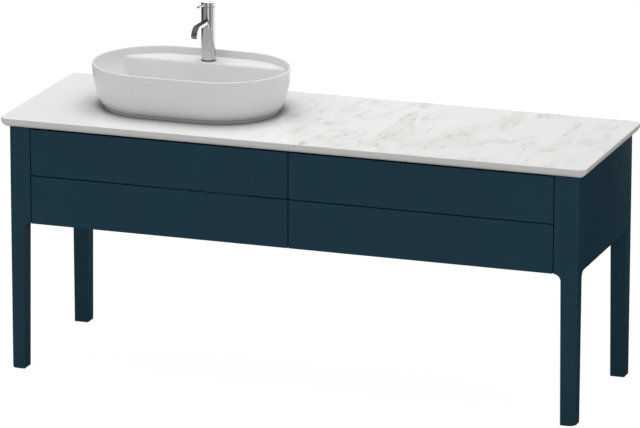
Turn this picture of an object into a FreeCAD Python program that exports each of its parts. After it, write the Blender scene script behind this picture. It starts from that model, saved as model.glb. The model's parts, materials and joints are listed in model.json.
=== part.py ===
"""Bathroom vanity unit: a lacquered cabinet on sculpted legs with four drawers,
a stone worktop, a countertop washbowl and a single-lever mixer tap.

Frame: origin on the floor under the middle of the worktop, X to the right,
Y towards the wall, Z up, in millimetres.
"""
import FreeCAD, Part
import os
from math import atan2, pi
from types import SimpleNamespace

import Sketcher
from FreeCAD import Placement, Rotation, Vector

# Driving dimensions

SIZES = {
    # Worktop
    "top_length": 1733,
    "top_depth": 570,
    "unit_height": 743,
    "top_thick": 26,
    "top_corner_radius": 24,
    "top_under_radius": 21,
    "top_arris": 2,
    # Cabinet body
    "side_inset": 23,
    "front_inset": 13,
    "back_inset": 20,
    "carcass_height": 280,
    "board": 16,
    "side_panel_thick": 19,
    "back_thick": 8,
    "rail_thick": 18,
    "front_rail_depth": 80,
    "rear_rail_height": 90,
    "carcass_setback": 2,
    # Legs
    "post_width": 66.5,
    "post_depth": 70,
    "leg_width": 46.5,
    "leg_depth": 50,
    "leg_floor_width": 42.3,
    "leg_floor_depth": 45.7,
    "post_corner_radius": 20,
    "rear_leg_depth": 48,
    "rear_leg_floor_depth": 43.8,
    "leg_arris": 1.5,
    "glide_height": 2,
    "glide_radius": 15,
    # Drawers
    "front_thick": 20,
    "front_gap": 3,
    "front_arris": 1.5,
    "lower_front_height": 140,
    "box_back_gap": 33,
    "box_side_thick": 15,
    "box_bottom_thick": 8,
    "box_bottom_lift": 10,
    "groove_depth": 6,
    "lower_box_lift": 29,
    "lower_box_headroom": 15,
    "upper_box_lift": 14,
    "upper_box_headroom": 40,
    "apron_half_width": 85,
    "apron_reach": 75,
    "apron_thick": 12,
    # Runners
    "runner_width": 13,
    "runner_height": 45,
    "runner_back_gap": 8,
    "runner_sheet": 1.5,
    "runner_flange": 9,
    # Washbowl
    "bowl_from_left": 472,
    "bowl_back_gap": 75,
    "bowl_length": 580,
    "bowl_width": 388,
    "bowl_height": 127,
    "bowl_side_bow": 2.5,
    "bowl_end_inset": 26.5,
    "bowl_side_inset": 20,
    "bowl_foot_height": 11,
    "bowl_foot_inset": 8,
    "rim_width": 6,
    "bowl_floor": 20,
    "basin_inset": 65,
    "platform_front": 108,
    "platform_drop": 22.5,
    "platform_round": 6,
    "platform_slope": 10,
    "platform_thick": 14,
    "recess_half_width": 45,
    "recess_depth": 50,
    # Waste
    "waste_forward": 25,
    "waste_hole_radius": 23,
    "worktop_waste_radius": 30,
    "waste_flange_radius": 32.5,
    "waste_flange_thick": 3,
    "waste_thread_radius": 20,
    "waste_thread_length": 74,
    "waste_pipe_radius": 16,
    "waste_pipe_length": 50,
    "waste_wall": 3,
    "waste_seal_radius": 40,
    "waste_seal_thick": 4,
    "waste_nut_radius": 36,
    "waste_nut_thick": 12,
    "plug_radius": 30,
    "plug_thick": 6,
    "plug_guide_width": 8,
    "plug_guide_length": 34,
    # Tap
    "tap_behind_bowl": 142,
    "tap_radius": 21,
    "tap_height": 159.5,
    "tap_ring_radius": 23,
    "tap_ring_height": 4,
    "tap_hole_radius": 17.5,
    "tap_service_radius": 24,
    "cartridge_radius": 17,
    "cartridge_length": 36,
    "stem_width": 10,
    "stem_height": 6,
    "socket_gap": 1,
    "lever_height": 11.5,
    "lever_plate": 4,
    "lever_width": 8,
    "lever_reach": 87,
    "lever_back": 18,
    "lever_sunk": 2.2,
    "lever_rise": 6,
    "lever_corner": 2,
    "spout_width": 18,
    "spout_thick": 10.5,
    "spout_top": 122,
    "spout_reach": 120,
    "spout_bend": 23.5,
    "spout_drop": 31,
    "outlet_width": 12,
    "outlet_depth": 6,
    "outlet_height": 2,
    "shank_radius": 14,
    "shank_length": 58,
    "tap_washer_radius": 22,
    "tap_washer_thick": 4,
    "tap_nut_radius": 21,
    "tap_nut_thick": 9,
    "inlet_radius": 4.25,
    "inlet_depth": 14,
    "inlet_spread": 6.5,
    # Wall fixing and service opening
    "wall_hole_radius": 4.5,
    "wall_hole_from_end": 240,
    "service_half_width": 110,
    "service_height": 120,
    "service_lift": 60,
    # Fits
    "clearance": 0.3,
    "overrun": 5,
}

# Shares of height and of inset where the washbowl's wall is given, from the foot or floor to the rim
OUTER_WALL_SHARES = ((0.0, 1.0), (0.1, 0.77), (0.3, 0.46), (0.6, 0.165), (1.0, 0.0))
INNER_WALL_SHARES = ((0.0, 1.0), (0.13, 0.5), (0.46, 0.17), (1.0, 0.0))

doc = FreeCAD.newDocument("vanity_unit")
sheet = doc.addObject("Spreadsheet::Sheet", "sizes")
for row_number, (alias, number) in enumerate(SIZES.items(), start=1):
    sheet.set(f"A{row_number}", alias)
    sheet.set(f"B{row_number}", str(number))
    sheet.setAlias(f"B{row_number}", alias)
doc.recompute()


class Size:
    """A length: its value, and the sheet formula that gives it."""

    def __init__(self, value, formula):
        self.value = float(value)
        self.formula = formula

    def __add__(self, other):
        return Size(self.value + other.value, f"({self.formula} + {other.formula})")

    def __sub__(self, other):
        return Size(self.value - other.value, f"({self.formula} - {other.formula})")

    def __mul__(self, other):
        return Size(self.value * number_of(other), f"({self.formula} * {other})")

    def __truediv__(self, other):
        return Size(self.value / number_of(other), f"({self.formula} / {other})")

    def __neg__(self):
        return self * -1

    def __str__(self):
        return self.formula


def number_of(factor):
    return getattr(factor, "value", factor)


ZERO = Size(0, "0")
S = SimpleNamespace(**{alias: Size(number, f"sizes.{alias}") for alias, number in SIZES.items()})
nodes = []


# Levels and lines that the pieces share

top_underside = S.unit_height - S.top_thick
outer_half = S.top_length / 2 - S.side_inset
inner_half = outer_half - S.post_width
panel_half = outer_half - S.side_panel_thick
front_face = S.front_inset - S.top_depth / 2
back_face = S.top_depth / 2 - S.back_inset
post_back = front_face + S.post_depth
rear_leg_front = back_face - S.rear_leg_depth
back_panel_front = rear_leg_front - S.back_thick
rear_rail_front = back_panel_front - S.rail_thick
fronts_back = front_face + S.front_thick
carcass_front = fronts_back + S.carcass_setback
carcass_bottom = top_underside - S.carcass_height
floor_top = carcass_bottom + S.board
box_back = rear_rail_front - S.box_back_gap
rail_underside = top_underside - S.rail_thick
shoulder_radius = S.post_width - S.leg_width
side_shoulder = S.post_depth - S.leg_depth
bowl_x = S.bowl_from_left - S.top_length / 2
bowl_y = S.top_depth / 2 - S.bowl_back_gap - S.bowl_width / 2
waste_y = bowl_y - S.waste_forward
tap_y = bowl_y + S.tap_behind_bowl
platform_height = S.bowl_height - S.platform_drop
platform_top = S.unit_height + platform_height
bowl_floor_top = S.unit_height + S.bowl_floor


# Small tools

def node(label, obj):
    """Keep obj as a sub-part under its own name."""
    obj.Label = label
    nodes.append(obj)
    return obj


def bind(obj, name, size):
    obj.setExpression(name, size.formula)


def place(obj, x, y, z):
    for axis, size in zip("xyz", (x, y, z)):
        bind(obj, f"Placement.Base.{axis}", size)
    return obj


def block(name, x, y, z):
    """A straight block between pairs of faces along X, Y and Z."""
    box = doc.addObject("Part::Box", name)
    for prop, (low, high) in zip(("Length", "Width", "Height"), (x, y, z)):
        bind(box, prop, high - low)
    return place(box, x[0], y[0], z[0])


def around(middle, width):
    return middle - width / 2, middle + width / 2


def rod(name, radius, x, y, z):
    """A plain upright cylinder between two heights."""
    cylinder = doc.addObject("Part::Cylinder", name)
    bind(cylinder, "Radius", radius)
    bind(cylinder, "Height", z[1] - z[0])
    return place(cylinder, x, y, z[0])


def join(kind, name, *shapes):
    """A boolean of two shapes, or a fusion or group of several."""
    obj = doc.addObject(kind, name)
    if kind == "Part::Cut":
        obj.Base, obj.Tool = shapes
    elif kind == "Part::Compound":
        obj.Links = list(shapes)
    else:
        obj.Shapes = list(shapes)
    return obj


def mirrored(name, source, x=ZERO):
    """The twin of source on the other side of the upright plane at x."""
    twin = doc.addObject("Part::Mirroring", name)
    twin.Source = source
    twin.Normal = Vector(1, 0, 0)
    bind(twin, "Base.x", x)
    return twin


def new_body(name):
    return doc.addObject("PartDesign::Body", name)


def sketch_on(body, role, offset=None):
    """An empty sketch on one of the body's own origin planes."""
    sketch = body.newObject("Sketcher::SketchObject", f"{body.Name}_sketch")
    plane = next(feature for feature in body.Origin.OriginFeatures if feature.Role == role)
    sketch.AttachmentSupport = [(plane, "")]
    sketch.MapMode = "FlatFace"
    if offset is not None:
        bind(sketch, "AttachmentOffset.Base.z", offset)
    return sketch


def hold(sketch, kind, refs, size):
    """A dimension of the sketch, bound to the sheet."""
    index = sketch.addConstraint(Sketcher.Constraint(kind, *refs, size.value))
    bind(sketch, f"Constraints[{index}]", size)


def pin(sketch, geo, end, point):
    """Fix a point of the sketch at its two coordinates."""
    for kind, axis, size in (("DistanceX", -2, point[0]), ("DistanceY", -1, point[1])):
        if size.value:
            hold(sketch, kind, (-1, 1, geo, end), size)
        else:
            sketch.addConstraint(Sketcher.Constraint("PointOnObject", geo, end, axis))


def flat(point):
    return Vector(point[0].value, point[1].value, 0)


def edge_between(start, end, bend):
    """A straight or round edge, with the numbers of its first and last ends."""
    if bend is None:
        return Part.LineSegment(flat(start), flat(end)), (1, 2)
    radius, centre = bend
    arms = [flat(point) - flat(centre) for point in (start, end)]
    angles = [atan2(arm.y, arm.x) for arm in arms]
    anticlockwise = arms[0].cross(arms[1]).z > 0
    circle = Part.Circle(flat(centre), Vector(0, 0, 1), radius.value)
    if anticlockwise:
        return Part.ArcOfCircle(circle, angles[0], angles[1]), (1, 2)
    return Part.ArcOfCircle(circle, angles[1], angles[0]), (2, 1)


def outline(sketch, points, bends=None, closed=True):
    """Edges from point to point; bends maps an edge's number to its radius and centre."""
    bends = bends or {}
    following = points[1:] + points[:1] if closed else points[1:]
    edges = []
    for number, (start, end) in enumerate(zip(points, following)):
        geometry, ends = edge_between(start, end, bends.get(number))
        edges.append((sketch.addGeometry(geometry, False), *ends))
    for (geo, _, last), (next_geo, first, _) in zip(edges, edges[1:] + edges[:1]):
        if closed or next_geo != edges[0][0]:
            sketch.addConstraint(Sketcher.Constraint("Coincident", geo, last, next_geo, first))
    for (geo, first, last), point in zip(edges, points):
        pin(sketch, geo, first, point)
    if not closed:
        pin(sketch, edges[-1][0], edges[-1][2], points[-1])
    for number, (radius, _) in bends.items():
        hold(sketch, "Radius", (edges[number][0],), radius)
    return sketch


def rectangle(x, y):
    return [(x[0], y[0]), (x[1], y[0]), (x[1], y[1]), (x[0], y[1])]


def pad(body, sketch, length, backwards=False, midplane=False):
    feature = body.newObject("PartDesign::Pad", f"{body.Name}_pad")
    feature.Profile = sketch
    bind(feature, "Length", length)
    feature.Reversed = backwards
    feature.Midplane = midplane
    return feature


def cut_through(body, sketch):
    feature = body.newObject("PartDesign::Pocket", f"{body.Name}_pocket")
    feature.Profile = sketch
    feature.Type = "ThroughAll"
    feature.Midplane = True
    return feature


def ease_edges(body, kind, size, wanted):
    """Fillet or chamfer every edge of the body so far that passes the test."""
    doc.recompute()
    base = body.Tip
    names = [f"Edge{number}" for number, edge in enumerate(base.Shape.Edges, start=1)
             if wanted(edge, edge.BoundBox)]
    feature = body.newObject(f"PartDesign::{kind}", f"{body.Name}_{kind.lower()}")
    feature.Base = (base, names)
    bind(feature, {"Fillet": "Radius", "Chamfer": "Size"}[kind], size)


def same(first, second):
    return abs(first - second) < 1e-6


def turned(name, points, x, y, z):
    """A round piece: a half outline of radius and height, turned about its upright axis."""
    body = new_body(name)
    sketch = outline(sketch_on(body, "XZ_Plane"), points)
    feature = body.newObject("PartDesign::Revolution", f"{name}_turn")
    feature.Profile = sketch
    feature.ReferenceAxis = (sketch, ["V_Axis"])
    return place(body, x, y, z)


def washer(name, bore, radius, thick, x, y, z):
    return turned(name, rectangle((bore, radius), (ZERO, thick)), x, y, z)


# Worktop

def worktop():
    body = new_body("worktop")
    plan = sketch_on(body, "XY_Plane")
    outline(plan, rectangle((ZERO, S.top_length), (ZERO, S.top_depth)))
    pad(body, plan, S.top_thick)
    ease_edges(body, "Fillet", S.top_corner_radius, lambda edge, box: same(box.ZLength, S.top_thick.value))
    ease_edges(body, "Fillet", S.top_under_radius, lambda edge, box: same(box.ZMax, 0))
    ease_edges(body, "Chamfer", S.top_arris, lambda edge, box: same(box.ZMin, S.top_thick.value))
    holes = sketch_on(body, "XY_Plane")
    for radius, y in ((S.worktop_waste_radius, waste_y), (S.tap_service_radius, tap_y)):
        centre = (S.bowl_from_left, y + S.top_depth / 2)
        geo = holes.addGeometry(Part.Circle(flat(centre), Vector(0, 0, 1), radius.value), False)
        pin(holes, geo, 3, centre)
        hold(holes, "Radius", (geo,), radius)
    cut_through(body, holes)
    place(body, -S.top_length / 2, -S.top_depth / 2, top_underside)
    node("worktop", body)


# Legs and glides

def front_leg():
    """A full-height post that draws in to the leg through two round shoulders."""
    body = new_body("front_leg")
    height = top_underside - S.glide_height
    shoulder = carcass_bottom - S.glide_height
    front = sketch_on(body, "XZ_Plane")
    outline(front, [(ZERO, ZERO), (S.leg_floor_width, ZERO),
                    (S.leg_width, shoulder - shoulder_radius), (S.post_width, shoulder),
                    (S.post_width, height), (ZERO, height)],
            {2: (shoulder_radius, (S.post_width, shoulder - shoulder_radius))})
    pad(body, front, S.post_depth, backwards=True)
    behind = sketch_on(body, "YZ_Plane")
    clear = S.post_depth + S.overrun
    outline(behind, [(S.leg_floor_depth, ZERO), (clear, ZERO), (clear, shoulder),
                     (S.post_depth, shoulder), (S.leg_depth, shoulder - side_shoulder)],
            {3: (side_shoulder, (S.post_depth, shoulder - side_shoulder))})
    cut_through(body, behind)
    ease_edges(body, "Fillet", S.post_corner_radius,
               lambda edge, box: same(box.XMax, 0) and same(box.YMax, 0))
    ease_edges(body, "Chamfer", S.leg_arris, lambda edge, box: same(box.ZMax, 0))
    return place(body, -outer_half, front_face, S.glide_height)


def rear_leg():
    """A plain post whose two inner faces taper towards the floor."""
    body = new_body("rear_leg")
    height = top_underside - S.glide_height
    shoulder = carcass_bottom - S.glide_height
    front = sketch_on(body, "XZ_Plane")
    outline(front, [(ZERO, ZERO), (S.leg_floor_width, ZERO), (S.leg_width, shoulder),
                    (S.leg_width, height), (ZERO, height)])
    pad(body, front, S.rear_leg_depth, backwards=True)
    taper = sketch_on(body, "YZ_Plane")
    outline(taper, [(ZERO, ZERO), (S.rear_leg_depth - S.rear_leg_floor_depth, ZERO), (ZERO, shoulder)])
    cut_through(body, taper)
    ease_edges(body, "Chamfer", S.leg_arris, lambda edge, box: same(box.ZMax, 0))
    return place(body, -outer_half, rear_leg_front, S.glide_height)


def legs():
    glide_x = outer_half - S.leg_floor_width / 2
    front_y = front_face + S.leg_floor_depth / 2
    rear_y = back_face - S.rear_leg_floor_depth / 2
    for name, left_leg in (("front", front_leg()), ("rear", rear_leg())):
        node(f"{name}_left_leg", left_leg)
        node(f"{name}_right_leg", mirrored(f"{name}_right_leg", left_leg))
    glides = [turned("glide", rectangle((ZERO, S.glide_radius), (ZERO, S.glide_height)), x, y, ZERO)
              for x in (-glide_x, glide_x) for y in (front_y, rear_y)]
    node("leg_glides", join("Part::Compound", "leg_glides", *glides))


# Cabinet carcass

def both_sides(name, x, y, z):
    """A board at the left end and its twin at the right, x counted from the middle."""
    low, high = x
    node(f"left_{name}", block(f"left_{name}", (-high, -low), y, z))
    node(f"right_{name}", block(f"right_{name}", (low, high), y, z))


def carcass():
    upright = (carcass_bottom, top_underside)
    both_sides("side_panel", (panel_half, outer_half), (post_back, rear_leg_front), upright)
    both_sides("carcass_side", (inner_half, inner_half + S.board),
               (post_back, back_panel_front), (floor_top, top_underside))

    bottom = new_body("bottom_panel")
    notch = panel_half - inner_half
    front_strip = post_back - carcass_front
    depth = back_panel_front - carcass_front
    plan = sketch_on(bottom, "XY_Plane")
    outline(plan, [(notch, ZERO), (panel_half * 2 - notch, ZERO), (panel_half * 2 - notch, front_strip),
                   (panel_half * 2, front_strip), (panel_half * 2, depth), (ZERO, depth),
                   (ZERO, front_strip), (notch, front_strip)])
    pad(bottom, plan, S.board)
    node("bottom_panel", place(bottom, -panel_half, carcass_front, carcass_bottom))

    back = block("back_board", (-panel_half, panel_half), (back_panel_front, rear_leg_front), upright)
    service_low = floor_top + S.service_lift
    through = (rear_rail_front - S.overrun, rear_leg_front + S.overrun)
    service = block("service_opening", (bowl_x - S.service_half_width, bowl_x + S.service_half_width),
                    through, (service_low, service_low + S.service_height))
    hole_reach = inner_half - S.wall_hole_from_end
    wall_holes = [wall_hole(x) for x in (-hole_reach, hole_reach)]
    node("back_panel", join("Part::Cut", "back_panel", back,
                            join("Part::MultiFuse", "back_openings", service, *wall_holes)))
    rail = block("rear_rail_board", (-inner_half, inner_half), (rear_rail_front, back_panel_front),
                 (top_underside - S.rear_rail_height, top_underside))
    node("rear_top_rail", join("Part::Cut", "rear_top_rail", rail,
                               join("Part::MultiFuse", "rail_holes", *wall_holes)))

    rail_back = carcass_front + S.front_rail_depth
    node("front_top_rail", block("front_top_rail", (-inner_half, inner_half),
                                 (carcass_front, rail_back), (rail_underside, top_underside)))

    partition = new_body("centre_partition")
    depth = rear_rail_front - carcass_front
    height = top_underside - floor_top
    below_rail = rail_underside - floor_top
    upright_face = sketch_on(partition, "YZ_Plane")
    outline(upright_face, [(ZERO, ZERO), (depth, ZERO), (depth, height), (S.front_rail_depth, height),
                           (S.front_rail_depth, below_rail), (ZERO, below_rail)])
    pad(partition, upright_face, S.board)
    node("centre_partition", place(partition, -S.board / 2, carcass_front, floor_top))


def wall_hole(x):
    """A hole along Y through the rear rail and the back panel, half way up the rail."""
    hole = doc.addObject("Part::Cylinder", "wall_hole")
    bind(hole, "Radius", S.wall_hole_radius)
    bind(hole, "Height", rear_leg_front - rear_rail_front + S.overrun * 2)
    hole.Placement = Placement(Vector(), Rotation(Vector(1, 0, 0), -90))
    return place(hole, x, rear_rail_front - S.overrun, top_underside - S.rear_rail_height / 2)


# Drawers and their runners

def drawer_front(label, x, z):
    body = new_body(label)
    face = sketch_on(body, "XZ_Plane")
    outline(face, rectangle((ZERO, x[1] - x[0]), (ZERO, z[1] - z[0])))
    pad(body, face, S.front_thick, backwards=True)
    ease_edges(body, "Fillet", S.front_arris, lambda edge, box: same(box.YMax, 0))
    node(label, place(body, x[0], front_face, z[0]))


def apron_blocks(name, low, high):
    """The siphon's space through a drawer's bottom and back, and the outside of the apron round it."""
    notch_front = waste_y - S.apron_reach
    wall = S.apron_thick
    inner_x = (bowl_x - S.apron_half_width, bowl_x + S.apron_half_width)
    space = block(f"{name}_space", inner_x, (notch_front, box_back + S.overrun),
                  (low - S.overrun, high + S.overrun))
    hull = block(f"{name}_hull", (inner_x[0] - wall, inner_x[1] + wall),
                 (notch_front - wall, box_back - S.box_side_thick), (low + S.box_bottom_thick, high))
    return space, hull


def drawer_box(name, opening, low, high, siphon):
    """Sides with a groove for the bottom, a back, the bottom, and the siphon's apron where there is one."""
    left, right = opening[0] + S.runner_width, opening[1] - S.runner_width
    inner_left, inner_right = left + S.box_side_thick, right - S.box_side_thick
    bottom_low = low + S.box_bottom_lift
    bottom_high = bottom_low + S.box_bottom_thick
    whole_length = (fronts_back, box_back)
    groove = block(f"{name}_groove", (inner_left - S.groove_depth, inner_right + S.groove_depth),
                   whole_length, (bottom_low, bottom_high))
    for side, x in (("left", (left, inner_left)), ("right", (inner_right, right))):
        plank = block(f"{name}_{side}_plank", x, whole_length, (low, high))
        node(f"{name}_{side}_side", join("Part::Cut", f"{name}_{side}_side", plank, groove))
    back_board = block(f"{name}_back_plank", (inner_left, inner_right),
                       (box_back - S.box_side_thick, box_back), (bottom_high, high))
    bottom = block(f"{name}_bottom_sheet", (inner_left - S.groove_depth, inner_right + S.groove_depth),
                   whole_length, (bottom_low, bottom_high))
    if siphon:
        space, hull = apron_blocks(f"{name}_apron", bottom_low, high)
        back_board = join("Part::Cut", f"{name}_notched_back", back_board, space)
        bottom = join("Part::Cut", f"{name}_notched_bottom", bottom, space)
        node(f"{name}_siphon_apron", join("Part::Cut", f"{name}_siphon_apron", hull, space))
    node(f"{name}_back", back_board)
    node(f"{name}_bottom", bottom)


def runner_sections():
    """Outlines of the three members, which nest with a running gap; origin at the cabinet member's foot."""
    sheet_thick, gap = S.runner_sheet, S.clearance
    width, height = S.runner_width, S.runner_height

    def channel(web, lips, low, inner):
        """A channel with its web at one side and its lips turned to the other."""
        high, inner_high = height - low, height - inner
        return [(web[0], low), (lips, low), (lips, inner), (web[1], inner),
                (web[1], inner_high), (lips, inner_high), (lips, high), (web[0], high)]

    cabinet = channel((ZERO, sheet_thick), S.runner_flange, ZERO, sheet_thick)
    near, far = sheet_thick + gap, width - sheet_thick - gap
    web_left = (near + far - sheet_thick) / 2
    web_right = web_left + sheet_thick
    low, inner = sheet_thick + gap, sheet_thick * 2 + gap
    high, inner_high = height - low, height - inner
    middle = [(near, low), (far, low), (far, inner), (web_right, inner),
              (web_right, inner_high), (far, inner_high), (far, high), (near, high),
              (near, inner_high), (web_left, inner_high), (web_left, inner), (near, inner)]
    moving = channel((width, width - sheet_thick), web_right + gap, inner + gap, inner + gap + sheet_thick)
    return cabinet, middle, moving


def runner_pair(name, section, opening, low):
    """One member at the left of a drawer's opening and its twin at the right."""
    body = new_body(f"{name}_left")
    sketch = outline(sketch_on(body, "XZ_Plane"), section)
    pad(body, sketch, box_back - S.runner_back_gap - carcass_front, backwards=True)
    place(body, opening[0], carcass_front, low)
    return body, mirrored(f"{name}_right", body, (opening[0] + opening[1]) / 2)


def drawers():
    half_board = S.board / 2
    half_gap = S.front_gap / 2
    cabinet_section, middle_section, moving_section = runner_sections()
    lower_top = carcass_bottom + S.lower_front_height
    rows = {
        "lower": (carcass_bottom, lower_top, S.lower_box_lift, S.lower_box_headroom),
        "upper": (lower_top + S.front_gap, top_underside - S.front_gap,
                  S.upper_box_lift, S.upper_box_headroom),
    }
    columns = {
        "left": ((-inner_half, -half_board), (S.front_gap - inner_half, -half_gap)),
        "right": ((half_board, inner_half), (half_gap, inner_half - S.front_gap)),
    }
    cabinet_members = []
    for row, (bottom, top, lift, headroom) in rows.items():
        for column, (opening, front_x) in columns.items():
            name = f"{row}_{column}_drawer"
            drawer_front(f"{name}_front", front_x, (bottom, top))
            box_low, box_high = bottom + lift, top - headroom
            drawer_box(name, opening, box_low, box_high, siphon=name == "upper_left_drawer")
            runner_low = (box_low + box_high - S.runner_height) / 2
            cabinet_members += runner_pair(f"{name}_cabinet_runner", cabinet_section, opening, runner_low)
            for kind, section in (("middle", middle_section), ("box", moving_section)):
                label = f"{name}_{kind}_runners"
                node(label, join("Part::Compound", label, *runner_pair(label, section, opening, runner_low)))
    node("cabinet_runners", join("Part::Compound", "cabinet_runners", *cabinet_members))


# Washbowl

def oval(sketch, half_length, half_width, end_radius):
    """A four-arc oval: two round ends and two flatter sides that meet them smoothly."""
    reach = half_length - end_radius
    long_radius = ((reach.value ** 2 + half_width.value ** 2 - end_radius.value ** 2)
                   / (2 * (half_width - end_radius).value))
    dip = long_radius - half_width.value
    turn = atan2(dip, reach.value)
    ends, sides = end_radius.value, long_radius
    arcs = (((reach.value, 0), ends, -turn, turn), ((0, -dip), sides, turn, pi - turn),
            ((-reach.value, 0), ends, pi - turn, pi + turn), ((0, dip), sides, pi + turn, 2 * pi - turn))
    for (x, y), radius, start, end in arcs:
        circle = Part.Circle(Vector(x, y, 0), Vector(0, 0, 1), radius)
        sketch.addGeometry(Part.ArcOfCircle(circle, start, end), False)
    for arc in (0, 2):
        sketch.addConstraint(Sketcher.Constraint("PointOnObject", arc, 3, -1))
    for arc, refs in ((0, (-1, 1, 0, 3)), (2, (2, 3, -1, 1))):
        hold(sketch, "DistanceX", refs, reach)
        hold(sketch, "Radius", (arc,), end_radius)
    for arc, following in ((0, 1), (1, 2), (2, 3), (3, 0)):
        sketch.addConstraint(Sketcher.Constraint("Tangent", arc, 2, following, 1))
    for arc, height, order in ((1, half_width.value, 1), (3, -half_width.value, -1)):
        point = sketch.addGeometry(Part.Point(Vector(0, height, 0)), True)
        sketch.addConstraint(Sketcher.Constraint("PointOnObject", point, 1, -2))
        sketch.addConstraint(Sketcher.Constraint("PointOnObject", point, 1, arc))
        refs = (-1, 1, point, 1) if order > 0 else (point, 1, -1, 1)
        hold(sketch, "DistanceY", refs, half_width)
    return sketch


def drawn_in(rim, insets, share):
    """The rim's oval drawn in by a share of its two insets, its arcs still meeting at the same angle."""
    half_length, half_width, end_radius = rim
    end_inset, side_inset = insets
    straight, across = half_length - end_radius, half_width - end_radius
    radius_inset = (side_inset * straight - end_inset * across) / (half_length - half_width)
    return tuple(size - inset * share for size, inset in zip(rim, (end_inset, side_inset, radius_inset)))


def dish(body, rim, insets, low, shares):
    """An oval dish lofted through ovals at shares of its height and of its insets."""
    sections = [oval(sketch_on(body, "XY_Plane", low + (S.bowl_height - low) * height_share),
                     *drawn_in(rim, insets, inset_share)) for height_share, inset_share in shares]
    loft = body.newObject("PartDesign::AdditiveLoft", f"{body.Name}_loft")
    loft.Profile = sections[0]
    loft.Sections = sections[1:]
    loft.Ruled = True


def washbowl():
    """An oval bowl on a set-back foot, its inside cut to leave a straight platform for the tap."""
    rim = (S.bowl_length / 2, S.bowl_width / 2, S.bowl_width / 2 - S.bowl_side_bow)
    outside = new_body("bowl_outside")
    insets = (S.bowl_end_inset, S.bowl_side_inset)
    dish(outside, rim, insets, S.bowl_foot_height, OUTER_WALL_SHARES)
    foot_rim = (size - S.bowl_foot_inset for size in drawn_in(rim, insets, 1))
    pad(outside, oval(sketch_on(outside, "XY_Plane"), *foot_rim), S.bowl_foot_height)

    inside = new_body("bowl_inside")
    inner_rim = tuple(size - S.rim_width for size in rim)
    dish(inside, inner_rim, (S.basin_inset, S.basin_inset), S.bowl_floor, INNER_WALL_SHARES)

    ledge = new_body("tap_platform")
    profile = sketch_on(ledge, "YZ_Plane")
    start, round_off = S.platform_front, S.platform_round
    outline(profile, [(start - S.platform_slope, ZERO), (rim[1], ZERO), (rim[1], platform_height),
                      (start + round_off, platform_height), (start, platform_height - round_off)],
            {3: (round_off, (start + round_off, platform_height - round_off))})
    pad(ledge, profile, S.bowl_length, midplane=True)

    for piece in (outside, inside, ledge):
        place(piece, bowl_x, bowl_y, S.unit_height)
    hollow = join("Part::Cut", "bowl_hollow", inside, ledge)
    shell = join("Part::Cut", "bowl_shell", outside, hollow)
    recess_front = tap_y - S.recess_depth / 2
    below = S.unit_height - S.overrun
    recess = block("tap_recess", (bowl_x - S.recess_half_width, bowl_x + S.recess_half_width),
                   (recess_front, recess_front + S.recess_depth), (below, platform_top - S.platform_thick))
    tap_hole = rod("tap_hole", S.tap_hole_radius, bowl_x, tap_y, (below, platform_top + S.overrun))
    waste_hole = rod("waste_hole", S.waste_hole_radius, bowl_x, waste_y, (below, bowl_floor_top + S.overrun))
    openings = join("Part::MultiFuse", "bowl_openings", recess, tap_hole, waste_hole)
    node("washbasin", join("Part::Cut", "washbasin", shell, openings))


# Waste

def hexagon_nut(label, radius, bore, thick, x, y, z):
    prism = doc.addObject("Part::Prism", f"{label}_hexagon")
    prism.Polygon = 6
    bind(prism, "Circumradius", radius)
    bind(prism, "Height", thick)
    place(prism, x, y, z)
    hole = rod(f"{label}_bore", bore, x, y, (z - S.overrun, z + thick + S.overrun))
    node(label, join("Part::Cut", label, prism, hole))


def waste():
    """The waste under the bowl's floor; gives back its seal."""
    wall = S.waste_wall
    pipe, thread = S.waste_pipe_radius, S.waste_thread_radius
    bore = pipe - wall
    pipe_top = S.waste_pipe_length
    flange_low = pipe_top + S.waste_thread_length
    flange_top = flange_low + S.waste_flange_thick
    foot = bowl_floor_top - flange_low
    profile = [(bore, ZERO), (pipe, ZERO), (pipe, pipe_top), (thread, pipe_top), (thread, flange_low),
               (S.waste_flange_radius, flange_low), (S.waste_flange_radius, flange_top), (bore, flange_top)]
    node("waste_body", turned("waste_body", profile, bowl_x, waste_y, foot))
    fit = thread + S.clearance
    seal_low = top_underside - S.waste_seal_thick
    seal = washer("waste_seal", fit, S.waste_seal_radius, S.waste_seal_thick, bowl_x, waste_y, seal_low)
    hexagon_nut("waste_nut", S.waste_nut_radius, fit, S.waste_nut_thick, bowl_x, waste_y,
                seal_low - S.waste_nut_thick)
    plug_low = bowl_floor_top + S.waste_flange_thick
    plug = rod("plug_disc", S.plug_radius, bowl_x, waste_y, (plug_low, plug_low + S.plug_thick))
    guide = block("plug_guide", around(bowl_x, S.plug_guide_width), around(waste_y, S.plug_guide_width),
                  (plug_low - S.plug_guide_length, plug_low))
    node("waste_plug", join("Part::MultiFuse", "waste_plug", plug, guide))
    return seal


# Tap

def facing_user(body, z):
    """Turn a piece that is drawn towards +Y to the front, at the tap's axis."""
    body.Placement = Placement(Vector(), Rotation(Vector(0, 0, 1), 180))
    return place(body, bowl_x, tap_y, z)


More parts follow.
